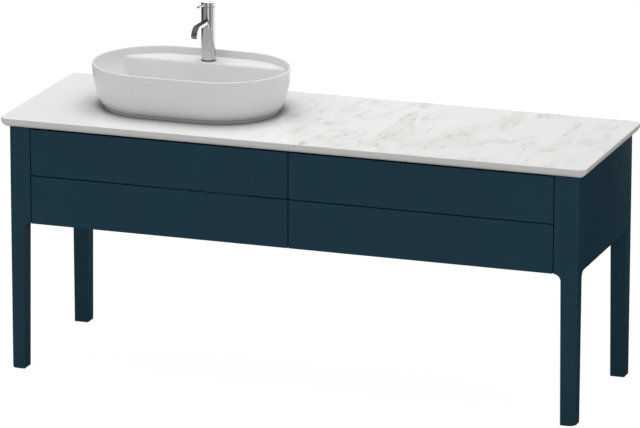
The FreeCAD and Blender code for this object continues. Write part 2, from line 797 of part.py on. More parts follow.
def tap_body():
    """The upright body with its flat spout, which runs forward and bends down in one band."""
    body = new_body("tap_body")
    bore_low = S.tap_height - S.cartridge_length
    half = sketch_on(body, "XZ_Plane")
    outline(half, [(ZERO, S.tap_ring_height), (S.tap_radius, S.tap_ring_height), (S.tap_radius, S.tap_height),
                   (S.cartridge_radius, S.tap_height), (S.cartridge_radius, bore_low), (ZERO, bore_low)])
    upright = body.newObject("PartDesign::Revolution", "tap_upright")
    upright.Profile = half
    upright.ReferenceAxis = (half, ["V_Axis"])
    middle = S.spout_top - S.spout_thick / 2
    bend_start = S.spout_reach - S.spout_thick / 2 - S.spout_bend
    bend_low = middle - S.spout_bend
    path = sketch_on(body, "YZ_Plane")
    outline(path, [(ZERO, middle), (bend_start, middle), (bend_start + S.spout_bend, bend_low),
                   (bend_start + S.spout_bend, S.spout_top - S.spout_drop)],
            {1: (S.spout_bend, (bend_start, bend_low))}, closed=False)
    section = sketch_on(body, "XZ_Plane")
    half_width = S.spout_width / 2
    outline(section, rectangle((-half_width, half_width), (S.spout_top - S.spout_thick, S.spout_top)))
    band = body.newObject("PartDesign::AdditivePipe", "tap_spout_band")
    band.Profile = section
    band.Spine = (path, [])
    node("tap_body", facing_user(body, platform_top))


def tap_lever():
    """A cap with a slim bar across its top that rises to the front, and a square socket for the stem."""
    body = new_body("tap_lever")
    half = sketch_on(body, "XZ_Plane")
    outline(half, rectangle((ZERO, S.tap_radius), (ZERO, S.lever_height)))
    cap = body.newObject("PartDesign::Revolution", "tap_lever_cap")
    cap.Profile = half
    cap.ReferenceAxis = (half, ["V_Axis"])
    bar = sketch_on(body, "YZ_Plane")
    low = S.lever_height - S.lever_sunk
    tip = low + S.lever_rise
    outline(bar, [(-S.lever_back, low), (S.lever_reach, tip), (S.lever_reach, tip + S.lever_plate),
                  (-S.lever_back, low + S.lever_plate)])
    pad(body, bar, S.lever_width, midplane=True)
    ease_edges(body, "Fillet", S.lever_corner,
               lambda edge, box: same(box.YMin, S.lever_reach.value) and same(box.XLength, 0))
    socket = sketch_on(body, "XY_Plane")
    sides = around(ZERO, S.stem_width + S.socket_gap * 2)
    outline(socket, rectangle(sides, sides))
    hollow = body.newObject("PartDesign::Pocket", "tap_lever_socket")
    hollow.Profile = socket
    hollow.Reversed = True
    bind(hollow, "Length", S.stem_height / 2 + S.socket_gap)
    node("tap_lever", facing_user(body, platform_top + S.tap_height + S.clearance))


def tap():
    """The mixer tap and its fixing; gives back the gasket under the platform."""
    tap_body()
    tap_lever()
    fit = S.shank_radius + S.clearance
    node("tap_base_ring", washer("tap_base_ring", fit, S.tap_ring_radius, S.tap_ring_height,
                                 bowl_x, tap_y, platform_top))
    outlet_y = tap_y - S.spout_reach + S.spout_thick / 2
    outlet_top = platform_top + S.spout_top - S.spout_drop
    node("tap_aerator", block("tap_aerator", around(bowl_x, S.outlet_width), around(outlet_y, S.outlet_depth),
                              (outlet_top - S.outlet_height, outlet_top)))
    cartridge_low = platform_top + S.tap_height - S.cartridge_length
    cartridge_high = S.cartridge_length - S.stem_height / 2
    node("tap_cartridge", washer("tap_cartridge", ZERO, S.cartridge_radius - S.clearance, cartridge_high,
                                 bowl_x, tap_y, cartridge_low))
    stem_low = cartridge_low + cartridge_high
    node("tap_stem", block("tap_stem", around(bowl_x, S.stem_width), around(tap_y, S.stem_width),
                           (stem_low, stem_low + S.stem_height)))
    shank_top = platform_top + S.tap_ring_height
    shank_low = shank_top - S.shank_length
    shank = rod("shank_bar", S.shank_radius, bowl_x, tap_y, (shank_low, shank_top))
    inlets = [rod("inlet", S.inlet_radius, x, tap_y, (shank_low - S.overrun, shank_low + S.inlet_depth))
              for x in (bowl_x - S.inlet_spread, bowl_x + S.inlet_spread)]
    node("tap_shank", join("Part::Cut", "tap_shank", shank, join("Part::MultiFuse", "inlets", *inlets)))
    washer_low = platform_top - S.platform_thick - S.tap_washer_thick
    gasket = washer("tap_washer", fit, S.tap_washer_radius, S.tap_washer_thick, bowl_x, tap_y, washer_low)
    hexagon_nut("tap_nut", S.tap_nut_radius, fit, S.tap_nut_thick,
                bowl_x, tap_y, washer_low - S.tap_nut_thick)
    return gasket


def fittings():
    node("fixing_seals", join("Part::Compound", "fixing_seals", waste(), tap()))


# Build, check and write

for make in (worktop, legs, carcass, drawers, washbowl, fittings):
    make()
doc.recompute()

for obj in doc.Objects:
    if "Invalid" in obj.State or "Error" in obj.State:
        raise RuntimeError(f"{obj.Label} failed: {obj.State}")
for obj in nodes:
    if obj.Shape.isNull() or not obj.Shape.isValid():
        raise RuntimeError(f"{obj.Label} has no valid shape")

os.makedirs("parts", exist_ok=True)
for obj in nodes:
    obj.Shape.exportStep(os.path.join("parts", f"{obj.Label}.step"))
print(f"{len(nodes)} sub-parts written")
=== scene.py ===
# %% [markdown]
# # A vanity unit with an oval washbowl
# A lacquered cabinet on four legs carries a stone worktop, and a ceramic bowl with its tap stands on it.
# The construction is already made to size and is loaded here as a fixed frame: nothing in it is moved.
# Each cell below gives one piece of it the form and the finish that the eye expects.

# %% Load the fixed frame
import json
import math

import bmesh
import bpy
from mathutils import Matrix, Vector

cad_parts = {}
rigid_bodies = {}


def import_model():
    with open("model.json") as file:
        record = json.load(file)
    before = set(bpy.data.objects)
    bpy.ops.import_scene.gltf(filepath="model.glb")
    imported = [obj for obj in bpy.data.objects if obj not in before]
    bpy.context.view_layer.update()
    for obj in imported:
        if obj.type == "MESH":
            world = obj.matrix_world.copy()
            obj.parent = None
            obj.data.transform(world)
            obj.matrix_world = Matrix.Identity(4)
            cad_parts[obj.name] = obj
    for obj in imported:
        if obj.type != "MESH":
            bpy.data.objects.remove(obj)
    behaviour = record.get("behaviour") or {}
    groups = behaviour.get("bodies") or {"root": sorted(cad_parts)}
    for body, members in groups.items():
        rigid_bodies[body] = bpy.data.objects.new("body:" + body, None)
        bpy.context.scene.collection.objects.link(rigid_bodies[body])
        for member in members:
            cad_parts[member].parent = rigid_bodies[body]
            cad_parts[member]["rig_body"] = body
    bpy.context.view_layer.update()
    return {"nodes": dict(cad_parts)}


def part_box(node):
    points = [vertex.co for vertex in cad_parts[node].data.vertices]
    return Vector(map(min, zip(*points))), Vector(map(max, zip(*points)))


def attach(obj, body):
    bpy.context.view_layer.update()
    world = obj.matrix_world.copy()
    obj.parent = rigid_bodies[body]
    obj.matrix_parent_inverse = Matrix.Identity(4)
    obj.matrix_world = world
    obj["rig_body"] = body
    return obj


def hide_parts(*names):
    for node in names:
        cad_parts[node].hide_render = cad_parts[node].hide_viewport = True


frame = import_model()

MM = 0.001
scene = bpy.context.scene

# %% [markdown]
# ## A short way to write shader nodes
# Every finish is a small network of nodes. Adding a node always takes the same steps: make it,
# choose its options, and then either type a value into each input or plug another node into it.
# One helper for that keeps the networks below as short as a recipe.

# %% Helpers for shader nodes
def shader_node(tree, kind, inputs=None, **options):
    """Add a node, set its options, and set or link its inputs by name or by number."""
    made = tree.nodes.new("ShaderNode" + kind)
    for option, value in options.items():
        setattr(made, option, value)
    for socket, value in (inputs or {}).items():
        if isinstance(value, bpy.types.NodeSocket):
            tree.links.new(value, made.inputs[socket])
        else:
            made.inputs[socket].default_value = value
    return made


def effect_group(name, inputs, outputs):
    """Start a node group; gives back its tree, what comes in and what goes out."""
    tree = bpy.data.node_groups.new(name, "ShaderNodeTree")
    for direction, sockets in (("INPUT", inputs), ("OUTPUT", outputs)):
        for label, kind in sockets.items():
            tree.interface.new_socket(label, in_out=direction, socket_type="NodeSocket" + kind)
    return tree, tree.nodes.new("NodeGroupInput").outputs, tree.nodes.new("NodeGroupOutput").inputs


# %% [markdown]
# ## Four effects that the finishes share
# No real surface is one even colour. Lacquer is a little cloudy, glaze and metal shine unevenly where
# hands have been, and every coating has a fine skin of its own. The fourth effect is painted shade: it
# darkens a colour where another piece stands close by, as under the bowl. Each effect is a node group with
# named inputs, so that one recipe serves many materials and each sets its own scale and strength.

# %% Effect groups
NOISE_LOW, NOISE_HIGH, CLOUD_DETAIL, SKIN_DETAIL = 0.3, 0.7, 3.0, 2.0
SHUT_IN, OPEN, SHADE_SAMPLES = 0.35, 0.97, 8


def spread_noise(tree, given, middle, spread):
    """A cloud of noise that runs from the middle less the spread to the middle plus the spread."""
    cloud = shader_node(tree, "TexNoise", {"Vector": given["Place"], "Scale": given["Scale"],
                                           "Detail": CLOUD_DETAIL})
    low = shader_node(tree, "Math", {0: middle, 1: spread}, operation="SUBTRACT")
    high = shader_node(tree, "Math", {0: middle, 1: spread}, operation="ADD")
    ends = {"Value": cloud.outputs["Fac"], "From Min": NOISE_LOW, "From Max": NOISE_HIGH,
            "To Min": low.outputs[0], "To Max": high.outputs[0]}
    return shader_node(tree, "MapRange", ends).outputs["Result"]


mottle, given, out = effect_group("soft mottle", {"Place": "Vector", "Colour": "Color", "Scale": "Float",
                                                  "Depth": "Float"}, {"Colour": "Color"})
strength = spread_noise(mottle, given, 1.0, given["Depth"])
tinted = shader_node(mottle, "VectorMath", {0: given["Colour"], "Scale": strength}, operation="SCALE")
mottle.links.new(tinted.outputs[0], out["Colour"])

drift, given, out = effect_group("gloss drift", {"Place": "Vector", "Roughness": "Float", "Scale": "Float",
                                                 "Spread": "Float"}, {"Roughness": "Float"})
drift.links.new(spread_noise(drift, given, given["Roughness"], given["Spread"]), out["Roughness"])

skin, given, out = effect_group("fine skin", {"Place": "Vector", "Scale": "Float"}, {"Height": "Float"})
grain = shader_node(skin, "TexNoise", {"Vector": given["Place"], "Scale": given["Scale"],
                                       "Detail": SKIN_DETAIL})
skin.links.new(grain.outputs["Fac"], out["Height"])

# Painted shade: the colour is darkened where ambient occlusion finds another surface within reach.
close, given, out = effect_group("close shade", {"Colour": "Color", "Reach": "Float", "Darkest": "Float"},
                                 {"Colour": "Color"})
openness = shader_node(close, "AmbientOcclusion", {"Distance": given["Reach"]}, samples=SHADE_SAMPLES)
fade = {"Value": openness.outputs["AO"], "From Min": SHUT_IN, "From Max": OPEN,
        "To Min": given["Darkest"], "To Max": 1.0}
level = shader_node(close, "MapRange", fade).outputs["Result"]
shaded = shader_node(close, "VectorMath", {0: given["Colour"], "Scale": level}, operation="SCALE")
close.links.new(shaded.outputs[0], out["Colour"])
print("Effect groups:", [group.name for group in bpy.data.node_groups])

# %% [markdown]
# ## The finishes
# One function puts the first three effects round a Principled shader. What differs between lacquer, glaze,
# steel and rubber is then a line of values: colour, roughness, and how coarse and deep each effect is.
# Patterns read Object coordinates, so they stay on the piece when a drawer slides. A stretch draws a
# pattern out along one axis, as the fibres of a board or the marks of rolled steel are.

# %% A finish from three of the effects
def group_node(tree, group, inputs):
    """Place an effect group in a material and give back its only output."""
    return shader_node(tree, "Group", inputs, node_tree=group).outputs[0]


def finish(name, colour, roughness, cloud, gloss, relief, stretch=(1, 1, 1), **sockets):
    """A material: cloud, gloss and relief each give the scale and the strength of one effect."""
    material = bpy.data.materials.new(name)
    material.use_nodes = True
    tree = material.node_tree
    shader = tree.nodes["Principled BSDF"]
    where = shader_node(tree, "TexCoord").outputs["Object"]
    place = shader_node(tree, "Mapping", {"Vector": where, "Scale": stretch}).outputs["Vector"]
    shade = colour(tree, place) if callable(colour) else (*colour, 1.0)
    tint = group_node(tree, mottle, {"Place": place, "Colour": shade, "Scale": cloud[0], "Depth": cloud[1]})
    gleam = group_node(tree, drift, {"Place": place, "Roughness": roughness, "Scale": gloss[0],
                                     "Spread": gloss[1]})
    height = group_node(tree, skin, {"Place": place, "Scale": relief[0]})
    bump = shader_node(tree, "Bump", {"Height": height, "Strength": relief[1], "Distance": MM})
    tree.links.new(tint, shader.inputs["Base Color"])
    tree.links.new(gleam, shader.inputs["Roughness"])
    tree.links.new(bump.outputs["Normal"], shader.inputs["Normal"])
    for socket, value in sockets.items():
        shader.inputs[socket.replace("_", " ")].default_value = value
    return material


# %% [markdown]
# ## Polished stone
# The worktop is white engineered stone. Its veins are broken streaks of grey and warm beige that run
# from front to back at a slant, gather in drifts to the right of the bowl and fade out on the left.
# A fleck of vein is a peak of a noise that is drawn out along the slant, and a second, coarser noise
# decides where flecks may show at all. The upright faces of the slab are painted darker than its
# polished top, a painted shade, and a fine dark line and a soft shadow are painted on the stone where
# the bowl stands on it.

# %% Veins of the worktop
VEIN_TURN, VEIN_SWIRL, VEIN_FADE = math.radians(-19), 1.5, (-0.45, 0.1)
DRIFT_STRETCH, DRIFT_SCALE, DRIFT_DETAIL, DRIFT_PEAK = (1.0, 0.42, 1.0), 11.0, 3.0, (0.47, 0.63)
FLECK_STRETCH, FLECK_SCALE, FLECK_DETAIL, FLECK_PEAK = (1.0, 0.27, 1.0), 38.0, 5.0, (0.51, 0.72)
EDGE_TILT = (0.9, 0.2)
# Painted shade round what stands on the stone: a fine contact line and a soft painted shadow.
CONTACT_REACH, CONTACT_DARKEST = 30 * MM, 0.36
SHADOW_REACH, SHADOW_DARKEST = 220 * MM, 0.72
MIX_FIRST, MIX_SECOND, MIX_RESULT = 6, 7, 2    # the colour sockets of a Mix node go by number
STONE = (0.85, 0.85, 0.84, 1.0)
GREY_VEIN = (0.62, 0.6, 0.53, 1.0)
CLOUD_VEIN = (0.785, 0.785, 0.765, 1.0)
PAINTED_EDGE_SHADE = (0.62, 0.62, 0.61, 1.0)


def blended(tree, factor, first, second):
    """One colour fading into another."""
    colours = {"Factor": factor, MIX_FIRST: first, MIX_SECOND: second}
    return shader_node(tree, "Mix", colours, data_type="RGBA").outputs[MIX_RESULT]


def ramp(tree, value, low, high):
    """A value mapped smoothly onto nought to one."""
    return shader_node(tree, "MapRange", {"Value": value, "From Min": low, "From Max": high},
                       interpolation_type="SMOOTHSTEP").outputs["Result"]


def product(tree, first, second):
    return shader_node(tree, "Math", {0: first, 1: second}, operation="MULTIPLY").outputs[0]


def stone_noise(tree, place, stretch, scale, detail):
    """Noise drawn out along the slant of the veins."""
    slanted = shader_node(tree, "Mapping", {"Vector": place, "Rotation": (0, 0, VEIN_TURN), "Scale": stretch})
    noise = {"Vector": slanted.outputs["Vector"], "Scale": scale, "Detail": detail, "Distortion": VEIN_SWIRL}
    return shader_node(tree, "TexNoise", noise).outputs["Fac"]


def stone_colour(tree, place):
    """Flecks in drifts, a haze round them, and painted shade on upright faces and near what stands on it."""
    across = shader_node(tree, "SeparateXYZ", {"Vector": place}).outputs["X"]
    drifts = ramp(tree, stone_noise(tree, place, DRIFT_STRETCH, DRIFT_SCALE, DRIFT_DETAIL), *DRIFT_PEAK)
    gathered = product(tree, drifts, ramp(tree, across, *VEIN_FADE))
    hazy = blended(tree, gathered, STONE, CLOUD_VEIN)
    flecks = ramp(tree, stone_noise(tree, place, FLECK_STRETCH, FLECK_SCALE, FLECK_DETAIL), *FLECK_PEAK)
    veined = blended(tree, product(tree, flecks, gathered), hazy, GREY_VEIN)
    # Painted shade: faces that turn upright are painted darker than the polished top.
    normal = shader_node(tree, "NewGeometry").outputs["Normal"]
    upward = shader_node(tree, "SeparateXYZ", {"Vector": normal}).outputs["Z"]
    edge_shaded = blended(tree, ramp(tree, upward, *EDGE_TILT), veined, PAINTED_EDGE_SHADE)
    # Painted shade: a fine dark contact line, then a wide soft painted shadow, round the bowl's foot.
    near = group_node(tree, close, {"Colour": edge_shaded, "Reach": CONTACT_REACH, "Darkest": CONTACT_DARKEST})
    return group_node(tree, close, {"Colour": near, "Reach": SHADOW_REACH, "Darkest": SHADOW_DARKEST})


print("Vein slant:", round(math.degrees(VEIN_TURN)), "degrees")

# %% [markdown]
# ## The palette
# The lacquer is a deep petrol blue with a satin face, so most of its look is its own colour and only
# a little is reflection. The glaze is satin too, and the chrome is nearly all reflection. Boards inside
# the cabinet are melamine with a faint printed grain, and the fittings are plated steel, brass, rubber
# and nylon.

# %% Materials
LACQUER = (0.0136, 0.0465, 0.0715)
GLAZE = (0.745, 0.75, 0.75, 1.0)
# Painted shade on the glaze near the foot: how far it reaches and how dark it gets.
FOOT_SHADE, FOOT_DARKEST = 32 * MM, 0.75


def glaze_colour(tree, place):
    """Plain glaze with painted shade near the foot, where the bowl stands close to the stone."""
    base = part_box("washbasin")[0].z
    height = shader_node(tree, "SeparateXYZ", {"Vector": place}).outputs["Z"]
    shaded = group_node(tree, close, {"Colour": GLAZE, "Reach": FOOT_SHADE, "Darkest": FOOT_DARKEST})
    return blended(tree, ramp(tree, height, base + 2 * FOOT_SHADE, base + FOOT_SHADE), GLAZE, shaded)


finishes = {
    "petrol_lacquer": finish("petrol lacquer", LACQUER, 0.46, (2.5, 0.05), (6, 0.05), (900, 0.05),
                             Specular_IOR_Level=0.1),
    "quartz_top": finish("veined quartz", stone_colour, 0.2, (60, 0.012), (9, 0.04), (500, 0.01),
                         Specular_IOR_Level=0.25),
    "white_ceramic": finish("white glaze", glaze_colour, 0.3, (5, 0.01), (12, 0.03), (30, 0.02),
                            Specular_IOR_Level=0.2),
    "chrome": finish("polished chrome", (0.56, 0.57, 0.58), 0.06, (40, 0.02), (35, 0.025), (60, 0.004),
                     Metallic=1.0),
    "carcass_board": finish("dark melamine", (0.022, 0.035, 0.043), 0.55, (30, 0.16), (40, 0.06),
                            (300, 0.08), stretch=(0.08, 1, 1), Specular_IOR_Level=0.3),
    "drawer_board": finish("grey melamine", (0.115, 0.12, 0.125), 0.5, (34, 0.12), (40, 0.06), (300, 0.08),
                           stretch=(1, 0.08, 1)),
    "zinc_steel": finish("zinc plate", (0.60, 0.61, 0.63), 0.32, (70, 0.08), (120, 0.08), (400, 0.05),
                         stretch=(1, 0.1, 1), Metallic=1.0),
    "brass": finish("machined brass", (0.72, 0.53, 0.24), 0.3, (60, 0.06), (90, 0.08), (500, 0.05),
                    stretch=(1, 1, 6), Metallic=1.0),
    "black_rubber": finish("black rubber", (0.02, 0.02, 0.021), 0.7, (50, 0.15), (60, 0.1), (700, 0.2)),
    "grey_plastic": finish("moulded nylon", (0.075, 0.076, 0.08), 0.48, (40, 0.06), (50, 0.05), (800, 0.15)),
}
print("Finishes:", sorted(finishes))

# %% [markdown]
# ## From a mesh to a piece of the unit
# A piece made here stands for a frame piece: it takes the body that piece moves with, and its slot.
# Faces that should look flat keep their shading flat with weighted normals, and only edges sharper
# than a set angle stay sharp, which lets a narrow bevel catch a line of light as a real arris does.

# %% Helpers for pieces
WELD, NEAR = 0.001 * MM, 0.01 * MM


def solid_box(low, high):
    """A closed box between two corners."""
    bm = bmesh.new()
    size = Vector(high) - Vector(low)
    middle = (Vector(high) + Vector(low)) / 2
    bmesh.ops.create_cube(bm, size=1.0, matrix=Matrix.Translation(middle) @ Matrix.Diagonal((*size, 1.0)))
    return bm


def soften(bm, edges, radius, segments):
    """Round the given edges."""
    bmesh.ops.bevel(bm, geom=edges, offset=radius, offset_type="OFFSET", segments=segments, profile=0.5,
                    affect="EDGES", material=-1, clamp_overlap=True)


def make_piece(name, bm, slot, *stands_for, sharp=40):
    """Turn a bmesh into an object that rides with, and is shown in place of, the pieces it stands for."""
    bmesh.ops.recalc_face_normals(bm, faces=bm.faces[:])
    mesh = bpy.data.meshes.new(name)
    bm.to_mesh(mesh)
    bm.free()
    mesh.materials.append(finishes[slot])
    mesh.shade_smooth()
    mesh.set_sharp_from_angle(angle=math.radians(sharp))
    piece = bpy.data.objects.new(name, mesh)
    scene.collection.objects.link(piece)
    piece.modifiers.new("flat faces stay flat", "WEIGHTED_NORMAL").keep_sharp = True
    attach(piece, frame["nodes"][stands_for[0]]["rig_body"])
    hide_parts(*stands_for)
    print(f"{name}: {len(mesh.polygons)} faces")


def edges_of(geometry):
    return [item for item in geometry if isinstance(item, bmesh.types.BMEdge)]


def carried(bm, loop, shift):
    """Extrude a loop of edges by a shift; gives back the new loop."""
    made = bmesh.ops.extrude_edge_only(bm, edges=loop)["geom"]
    bmesh.ops.translate(bm, verts=[item for item in made if isinstance(item, bmesh.types.BMVert)], vec=shift)
    return edges_of(made)


def combined(operation, first, *others):
    """Cut closed meshes from one, or join them to it, with the exact boolean."""
    def as_object(bm):
        mesh = bpy.data.meshes.new("scratch")
        bm.to_mesh(mesh)
        bm.free()
        return bpy.data.objects.new("scratch", mesh)
    base = as_object(first)
    scene.collection.objects.link(base)
    tools = [as_object(bm) for bm in others]
    for tool in tools:
        scene.collection.objects.link(tool)
        step = base.modifiers.new("combine", "BOOLEAN")
        step.operation, step.solver, step.object = operation, "EXACT", tool
    result = bmesh.new()
    result.from_object(base, bpy.context.evaluated_depsgraph_get())
    for scratch in (base, *tools):
        bpy.data.meshes.remove(scratch.data)
    bmesh.ops.remove_doubles(result, verts=result.verts[:], dist=WELD)
    return result


def cylinder(radius, x, y, low, high, segments=64):
    """A closed upright cylinder."""
    bm = bmesh.new()
    bmesh.ops.create_cone(bm, cap_ends=True, segments=segments, radius1=radius, radius2=radius,
                          depth=high - low, matrix=Matrix.Translation((x, y, (low + high) / 2)))
    return bm


# %% [markdown]
# ## The worktop
# The slab has a crisp upper arris and an underside drawn up in a generous round, so that it looks
# thinner than it is. A box is bevelled in the order a stone mason works: plan corners first, then the
# long round below, then the narrow arris above. Two holes let the waste and the hoses through.

# %% Worktop
CORNER_ROUND, UNDER_ROUND, TOP_ARRIS = 24 * MM, 21 * MM, 2 * MM
WASTE_BORE, HOSE_BORE = 30 * MM, 24 * MM
ROUND_STEPS, ARRIS_STEPS = 12, 3
low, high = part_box("worktop")
bm = solid_box(low, high)


def level_edges(bm, z):
    return [edge for edge in bm.edges if all(abs(v.co.z - z) < NEAR for v in edge.verts)]


soften(bm, [e for e in bm.edges if abs(e.verts[0].co.z - e.verts[1].co.z) > MM], CORNER_ROUND, ROUND_STEPS)
soften(bm, level_edges(bm, low.z), UNDER_ROUND, ROUND_STEPS)
soften(bm, level_edges(bm, high.z), TOP_ARRIS, ARRIS_STEPS)
holes = []
for node, bore in (("waste_body", WASTE_BORE), ("tap_shank", HOSE_BORE)):
    middle = sum(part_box(node), Vector()) / 2
    holes.append(cylinder(bore, middle.x, middle.y, low.z - bore, high.z + bore))
make_piece("worktop_slab", combined("DIFFERENCE", bm, *holes), "quartz_top", "worktop", sharp=35)

# %% [markdown]
# ## The legs
# A front leg starts at the top as a broad post with one rounded corner and draws in, through a round
# shoulder on its two inner faces, to a slim leg that tapers to the floor. It is built as a stack of
# rectangles: a unit square is extruded once for each level, and then every ring is given the width
# and the depth that the leg has at its height.

# %% Legs
SHOULDER_ROUND, POST_CORNER, LEG_ARRIS = 20 * MM, 20 * MM, 1.2 * MM
LEG_WIDTH, LEG_DEPTH = 46.5 * MM, 50 * MM
FLOOR_WIDTH, FLOOR_DEPTH, REAR_FLOOR_DEPTH = 42.3 * MM, 45.7 * MM, 43.8 * MM
SHOULDER_STEPS, POST_STEPS, EASE_STEPS = 10, 10, 2
LEG_EDGE_ANGLE = math.radians(40)
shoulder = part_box("bottom_panel")[0].z


def stacked(corner, inward, levels):
    """Rectangles stacked from one fixed upright edge; each level gives its height, width and depth."""
    bm = bmesh.new()
    bmesh.ops.create_grid(bm, x_segments=1, y_segments=1, size=0.5)
    loop = bm.edges[:]
    for _ in levels[1:]:
        loop = carried(bm, loop, (0, 0, 1))
    bmesh.ops.edgeloop_fill(bm, edges=loop)
    for vertex in bm.verts:
        z, width, depth = levels[round(vertex.co.z)]
        vertex.co = (corner[0] + inward[0] * width * (vertex.co.x > 0),
                     corner[1] + inward[1] * depth * (vertex.co.y > 0), z)
    bmesh.ops.recalc_face_normals(bm, faces=bm.faces[:])
    return bm


def upright_edges(bm, x, y):
    return [e for e in bm.edges if all(abs(v.co.x - x) + abs(v.co.y - y) < NEAR for v in e.verts)]


def front_leg_levels(low, high):
    """From the floor: a taper, a quarter round that opens out to the post, and the straight post."""
    post_width, post_depth = high.x - low.x, high.y - low.y
    levels = [(low.z, FLOOR_WIDTH, FLOOR_DEPTH)]
    for step in range(SHOULDER_STEPS + 1):
        turn = math.pi / 2 * step / SHOULDER_STEPS
        draw = SHOULDER_ROUND * math.cos(turn)
        height = shoulder - SHOULDER_ROUND * (1 - math.sin(turn))
        levels.append((height, post_width - draw, post_depth - draw))
    return levels + [(high.z, post_width, post_depth)]


for side, outward in (("left", -1), ("right", 1)):
    node = f"front_{side}_leg"
    low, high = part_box(node)
    outer_x = low.x if outward < 0 else high.x
    bm = stacked((outer_x, low.y), (-outward, 1), front_leg_levels(low, high))
    soften(bm, upright_edges(bm, outer_x, low.y), POST_CORNER, POST_STEPS)
    soften(bm, level_edges(bm, low.z), LEG_ARRIS, EASE_STEPS)
    make_piece(f"front_{side}_leg_turned", bm, "petrol_lacquer", node, sharp=30)

    node = f"rear_{side}_leg"
    low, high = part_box(node)
    outer_x = low.x if outward < 0 else high.x
    straight = (high.x - low.x, high.y - low.y)
    levels = [(low.z, FLOOR_WIDTH, REAR_FLOOR_DEPTH), (shoulder, *straight), (high.z, *straight)]
    bm = stacked((outer_x, high.y), (-outward, -1), levels)
    soften(bm, [e for e in bm.edges if e.calc_face_angle() > LEG_EDGE_ANGLE], LEG_ARRIS, EASE_STEPS)
    make_piece(f"rear_{side}_leg_tapered", bm, "petrol_lacquer", node, sharp=30)

# %% [markdown]
# ## Drawer fronts and side panels
# The fronts have no handles. They are plain lacquered boards with a gently eased arris, and the three
# millimetre joints between them read as fine dark lines. The side panels stand flush between the legs,
# so their arris is much finer and the joint all but disappears.

# %% Fronts and side panels
FRONT_ARRIS, PANEL_ARRIS, BOARD_STEPS = 0.6 * MM, 0.2 * MM, 4
drawers = [f"{row}_{side}_drawer" for row in ("lower", "upper") for side in ("left", "right")]
lacquered = {f"{drawer}_front": FRONT_ARRIS for drawer in drawers}
lacquered |= {f"{side}_side_panel": PANEL_ARRIS for side in ("left", "right")}
for node, arris in lacquered.items():
    bm = solid_box(*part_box(node))
    soften(bm, bm.edges[:], arris, BOARD_STEPS)
    make_piece(f"{node}_board", bm, "petrol_lacquer", node)

# %% [markdown]
# ## Boards, runners and fittings
# What is inside the unit already has its true shape, with grooves, notches and holes, but every edge
# is knife sharp. A copy of each frame mesh is welded, its flat triangles are merged, and then all edges
# that turn by more than a set angle are eased a little, as a router or a rolling mill leaves them.

# %% Eased copies of the inner pieces
MERGE_ANGLE, EASE_ANGLE = math.radians(0.5), math.radians(50)
BOARD_EASE, STEEL_EASE = 0.6 * MM, 0.25 * MM


def eased_copy(node, slot, ease):
    """A piece with the shape of a frame piece and its sharp edges softened."""
    bm = bmesh.new()
    bm.from_mesh(frame["nodes"][node].data)
    bmesh.ops.remove_doubles(bm, verts=bm.verts[:], dist=NEAR)
    bmesh.ops.dissolve_limit(bm, angle_limit=MERGE_ANGLE, verts=bm.verts[:], edges=bm.edges[:])
    sharp_edges = [e for e in bm.edges if e.is_manifold and e.calc_face_angle() > EASE_ANGLE]
    soften(bm, sharp_edges, ease, EASE_STEPS)
    make_piece(f"{node}_eased", bm, slot, node)


carcass_boards = ["left_carcass_side", "right_carcass_side", "bottom_panel", "back_panel", "rear_top_rail",
                  "front_top_rail", "centre_partition"]
box_boards = ("left_side", "right_side", "back", "bottom")
drawer_boards = [f"{drawer}_{board}" for drawer in drawers for board in box_boards]
drawer_runners = [f"{drawer}_{kind}_runners" for drawer in drawers for kind in ("box", "middle")]
for node in carcass_boards:
    eased_copy(node, "carcass_board", BOARD_EASE)
for node in drawer_boards + ["upper_left_drawer_siphon_apron"]:
    eased_copy(node, "drawer_board", BOARD_EASE)
for node in ["cabinet_runners"] + drawer_runners:
    eased_copy(node, "zinc_steel", STEEL_EASE)
fittings = {"leg_glides": "grey_plastic", "waste_nut": "brass", "tap_nut": "brass", "tap_shank": "brass",
            "fixing_seals": "black_rubber", "tap_cartridge": "grey_plastic", "tap_stem": "brass",
            "tap_aerator": "grey_plastic"}
for node, slot in fittings.items():
    eased_copy(node, slot, STEEL_EASE)

# %% [markdown]
# ## The washbowl
# The bowl is a thin-rimmed oval with a soft, nearly upright wall outside, a deep round inside, and a
# straight shelf at the back for the tap. Its plan is an oval of four arcs. Such an oval is described by
# the direction in which its edge faces: each direction belongs to one of the four arcs. So one unit circle
# is extruded ring by ring, from the foot over the rim and down to the drain, and each ring is then laid
# on its own oval. The shelf is a height that the inside may not fall below, and a little smoothing
# leaves the flowing corners of slip-cast ceramic.

# %% Rings of the washbowl
SIDE_BOW, END_INSET, SIDE_INSET, BASIN_INSET = 2.5 * MM, 26.5 * MM, 20 * MM, 65 * MM
FOOT_INSET, FOOT_HEIGHT, RIM_WIDTH, FLOOR_THICK = 8 * MM, 11 * MM, 6 * MM, 20 * MM
TUCK_SHARE, BELLY_POWER, TUCK_POWER, FOOT_CROWDING = 0.15, 1.8, 8, 1.6
DRAIN_RADIUS = 23 * MM
BOWL_STEPS, OUTER_STEPS, RIM_STEPS, INNER_STEPS, FLOOR_STEPS = 320, 26, 10, 52, 84
FOOT_RINGS = 3

bowl_low, bowl_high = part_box("washbasin")
bowl_middle = (bowl_low + bowl_high) / 2
drain_low, drain_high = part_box("waste_body")
drain_middle = (drain_low + drain_high) / 2
half_width = (bowl_high.y - bowl_low.y) / 2
rim_oval = ((bowl_high.x - bowl_low.x) / 2, half_width, half_width - SIDE_BOW)


def shrunk(oval, inset):
    return tuple(size - inset for size in oval)


def drawn_in(oval, share):
    """The outer oval drawn in by a share of its insets, its arcs still meeting at the same angle."""
    length, width, radius = oval
    arc_inset = (SIDE_INSET * (length - radius) - END_INSET * (width - radius)) / (length - width)
    return length - END_INSET * share, width - SIDE_INSET * share, radius - arc_inset * share


